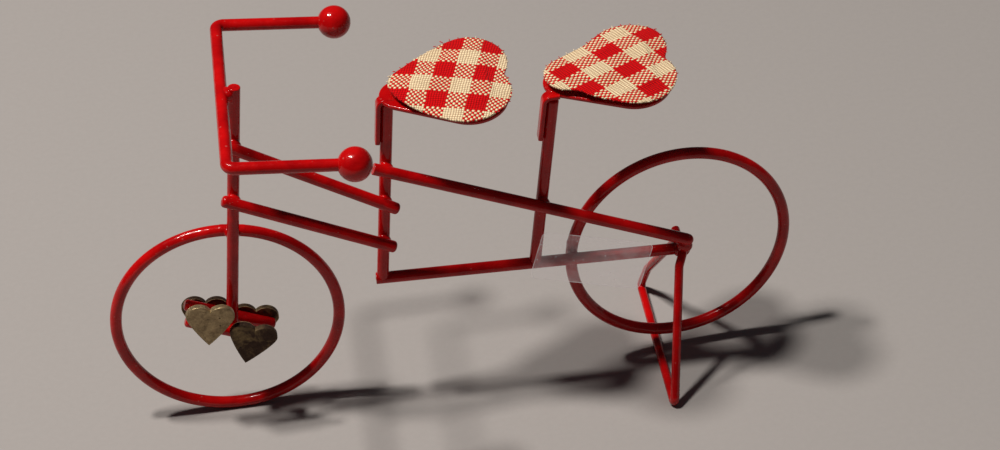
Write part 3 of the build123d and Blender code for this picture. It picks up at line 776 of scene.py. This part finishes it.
def settle(seat, sheet):
    """Let the sheet drop towards the pad and the pan, worked in the seat's own directions.

    Left free, its rim would drop and hang over the pan, but the rim looks nearly level in the
    photo. So no point moves further than SIDE_MOVE and DROP_MOVE, and over half of the points stop
    at DROP_MOVE: the level rim comes from these limits, and the drop decides only the middle.
    """
    pad_edge = cut_outline(seat, PAD_INSIDE_CLOTH, 90)
    pan_edge = cut_outline(seat, PAN_INSIDE_CLOTH, 90)
    base = new_object("settling_base", [], [])
    mesh = fill_outline(pan_edge, PAD_SPACING)
    flat = np.array([v.co[:] for v in mesh.verts])
    inside = np.array([inside_edge(x, y, pad_edge) for x, y, _ in flat])
    rise = crown_height(flat[:, 0], flat[:, 1], pad_edge) * PAD_RISE * inside
    for vertex, r in zip(mesh.verts, rise):
        vertex.co.z = r
    mesh.to_mesh(base.data)
    mesh.free()
    resize(base, LARGE)
    resize(sheet, LARGE)
    base.modifiers.new("base", "COLLISION")
    base.collision.thickness_outer = 0.008
    base.collision.cloth_friction = 20.0
    start = np.array([v.co[:] for v in sheet.data.vertices])
    drop = sheet.modifiers.new("drop", "CLOTH")
    drop.settings.quality = 7
    drop.settings.mass = 0.4
    drop.settings.tension_stiffness = 30.0
    drop.settings.compression_stiffness = 30.0
    drop.settings.shear_stiffness = 12.0
    drop.settings.bending_stiffness = 6.0
    drop.settings.air_damping = 3.0
    drop.collision_settings.distance_min = 0.006
    drop.collision_settings.collision_quality = 3
    drop.point_cache.frame_start = 1
    drop.point_cache.frame_end = LAST_FRAME
    for number in range(1, LAST_FRAME + 1):
        bpy.context.scene.frame_set(number)
    apply_modifiers(sheet)
    settled = np.array([v.co[:] for v in sheet.data.vertices])
    most = np.array((SIDE_MOVE, SIDE_MOVE, DROP_MOVE))
    move = np.clip(settled - start, -most, most)
    for vertex, place in zip(sheet.data.vertices, start + move):
        vertex.co = place
    bpy.context.scene.frame_set(1)
    bpy.data.objects.remove(base)
    resize(sheet, 1 / LARGE)


def inside_edge(x, y, edge):
    """Whether a point is inside a closed outline."""
    ahead = np.roll(edge, -1, axis=0)
    spans = (edge[:, 1] > y) != (ahead[:, 1] > y)
    climb = np.where(spans, ahead[:, 1] - edge[:, 1], 1)
    run = (ahead[:, 0] - edge[:, 0]) * (y - edge[:, 1]) / climb + edge[:, 0]
    return bool(np.count_nonzero(spans & (x < run)) % 2)


def make_cover(seat):
    """Gingham sheet laid over the pad, with a raw cut edge that stands out past the pan."""
    edge = cut_outline(seat, 0.0)
    mesh = fill_outline(edge, CLOTH_SPACING)
    bmesh.ops.remove_doubles(mesh, verts=mesh.verts[:], dist=0.07 * MM)
    bmesh.ops.triangulate(mesh, faces=[f for f in mesh.faces if len(f.verts) > 4])
    obj = new_object(f"{seat.name}_seat_gingham", [], [])
    mesh.to_mesh(obj.data)
    mesh.free()
    flat = np.empty(3 * len(obj.data.vertices))
    obj.data.vertices.foreach_get("co", flat)
    flat = flat.reshape(-1, 3)
    place = seat.check_place(flat)
    layer = obj.data.uv_layers.new(name="checks")
    for loop in obj.data.loops:
        layer.data[loop.index].uv = place[loop.vertex_index]
    in_from_cut = np.hypot(edge[:, 0] - flat[:, :1], edge[:, 1] - flat[:, 1:2]).min(axis=1)
    rise = np.sin(np.clip(in_from_cut / CROWN_REACH, 0, 1) * math.pi / 2)
    rng = random.Random(seed_of(seat, 1))
    waves = [(rng.uniform(180, 620), rng.uniform(180, 620), rng.uniform(0, 6.28)) for _ in range(6)]
    for vertex, (x, y, _), r in zip(obj.data.vertices, flat, rise):
        ripple = sum(math.sin(a * x + b * y + c) for a, b, c in waves) / 6
        lie = (RIM_HEIGHT + CLOTH_CROWN * r) * MM
        vertex.co = (x, y, lie + ripple * RIPPLE * MM * (1 - 0.75 * r))
    settle(seat, obj)
    for vertex in obj.data.vertices:
        vertex.co = seat.put(*vertex.co)
    thick = obj.modifiers.new("cloth_thickness", "SOLIDIFY")
    thick.thickness = CLOTH_THICKNESS
    thick.offset = 1.0
    obj.data.shade_smooth()
    dress(obj, gingham_cotton)
    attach(obj, "frame")
    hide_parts(f"{seat.name}_seat_cover")
    area = 0.5 * abs(np.dot(edge[:, 0], np.roll(edge[:, 1], 1)) - np.dot(edge[:, 1], np.roll(edge[:, 0], 1)))
    size = edge.max(axis=0) - edge.min(axis=0)
    return obj, edge, (float(size[1]), float(size[0])), float(area)


def seed_of(seat, step):
    return seat.seed * 100 + step


def make_fray(seat, edge):
    """Short loose yarn ends that stick out of the cloth's raw edge."""
    rng = random.Random(seed_of(seat, 2))
    collected = {"red": bmesh.new(), "cream": bmesh.new()}
    yarn, other = seat.yarns
    count = len(edge)
    for k in range(0, count, 5):
        x, y = edge[k]
        ahead = edge[(k + 1) % count] - edge[k - 1]
        out = Vector((ahead[1], -ahead[0], 0)).normalized()
        if out.dot(Vector((x - edge[:, 0].mean(), y - edge[:, 1].mean(), 0))) < 0:
            out = -out
        run = yarn if abs(yarn.dot(out)) > abs(other.dot(out)) else other
        run = run * math.copysign(1, run.dot(out))
        length = rng.uniform(0.0, 0.07) * MM * (5.0 if rng.random() < 0.05 else 1.0)
        lean = rng.uniform(-0.35, 0.35)
        turned_x = run.x * math.cos(lean) - run.y * math.sin(lean)
        turned_y = run.x * math.sin(lean) + run.y * math.cos(lean)
        run = Vector((turned_x, turned_y, 0))
        start = Vector((x, y, rng.uniform(1.40, 1.58) * MM)) - run * 0.25 * MM
        tip = start + run * (0.25 * MM + length) + Vector((0, 0, rng.uniform(-0.12, 0.14) * MM))
        place = seat.check_place(np.array([[x, y]]))[0]
        stripe = place[1] if abs(run.dot(yarn)) > 0.7 else place[0]
        key = "red" if math.floor(stripe) % 2 else "cream"
        capsule(collected[key], seat.put(*start), seat.put(*tip), rng.uniform(0.05, 0.09) * MM, 2, 6)
    made = []
    for key, material in (("red", red_yarn), ("cream", cream_yarn)):
        obj = new_object(f"{seat.name}_seat_fray_{key}", [], [])
        collected[key].to_mesh(obj.data)
        collected[key].free()
        obj.data.shade_smooth()
        dress(obj, material)
        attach(obj, "frame")
        made.append(obj)
    return made


seats = (
    Seat(
        "front",
        checks=((3.1, -1.05), (-1.1, -3.35)),
        red_check=(3.9, 4.55),
        strays=((-170, 20, -1.0), (-110, 40, 0.7), (-5, 25, -0.5), (80, 50, 0.35)),
        seed=3,
    ),
    Seat(
        "rear",
        checks=((1.3, -2.55), (3.8, 1.5)),
        red_check=(3.65, 0.45),
        strays=((-145, 15, -0.7), (0, 15, -0.5), (40, 15, 0.5), (115, 30, -0.8)),
        seed=5,
    ),
)
for seat in seats:
    pad = make_pad(seat)
    cover, edge, flat_size, flat_area = make_cover(seat)
    fray = make_fray(seat, edge)


# ---- floor, light and camera ----
def make_floor():
    half = 3.0
    corners = [(-half, -half, 0), (half, -half, 0), (half, half, 0), (-half, half, 0)]
    floor = new_object("floor", corners, [(0, 1, 2, 3)])
    material, tree, shader, place = new_material("plain_floor")
    grain = noise(tree, place, 900.0, 3.0, 0.6)
    tone = blend_colour(tree, grain, (0.345, 0.318, 0.301, 1), (0.372, 0.343, 0.325, 1))
    tree.links.new(tone, shader.inputs["Base Color"])
    shader.inputs["Roughness"].default_value = 0.95
    shader.inputs["Specular IOR Level"].default_value = 0.1
    dress(floor, material)


def add_softbox(name, slope_x, slope_y, distance, size, power, colour):
    """Round soft light. The slopes are how far its shadows lean for each unit of height."""
    run = Vector((slope_x, slope_y, -1)).normalized()
    data = bpy.data.lights.new(name, "AREA")
    data.shape = "DISK"
    data.size = size
    data.energy = power
    data.color = colour
    lamp = bpy.data.objects.new(name, data)
    lamp.location = Vector((0, 0, 0.02)) - run * distance
    lamp.rotation_mode = "QUATERNION"
    lamp.rotation_quaternion = run.to_track_quat("-Z", "Y")
    bpy.context.scene.collection.objects.link(lamp)


def set_world():
    world = bpy.data.worlds.new("room")
    world.use_nodes = True
    world.node_tree.nodes["Background"].inputs["Color"].default_value = (0.85, 0.88, 1.0, 1)
    world.node_tree.nodes["Background"].inputs["Strength"].default_value = 0.035
    bpy.context.scene.world = world


def set_camera():
    azimuth, elevation, roll = math.radians(5.175), math.radians(38.10), math.radians(3.998)
    forward = Vector(
        (
            math.sin(azimuth) * math.cos(elevation),
            math.cos(azimuth) * math.cos(elevation),
            -math.sin(elevation),
        )
    )
    level = Vector((math.cos(azimuth), -math.sin(azimuth), 0))
    upright = level.cross(forward)
    right = level * math.cos(roll) - upright * math.sin(roll)
    up = upright * math.cos(roll) + level * math.sin(roll)
    data = bpy.data.cameras.new("camera")
    data.sensor_width = 36.0
    data.lens = 2489.79 / 1000 * 36.0
    data.clip_start, data.clip_end = 0.01, 10.0
    camera = bpy.data.objects.new("camera", data)
    turn = Matrix((right, up, -forward)).transposed().to_4x4()
    camera.matrix_world = Matrix.Translation(Vector((-21.17, -323.86, 288.87)) * MM) @ turn
    bpy.context.scene.collection.objects.link(camera)
    bpy.context.scene.camera = camera


make_floor()
add_softbox("left_softbox", 0.30, 0.02, 1.0, 0.09, 6.3, (1.0, 0.97, 0.93))
add_softbox("far_left_softbox", 0.50, -0.08, 1.05, 0.10, 6.3, (1.0, 0.96, 0.92))
set_world()
set_camera()
bpy.context.scene.view_settings.view_transform = "Standard"
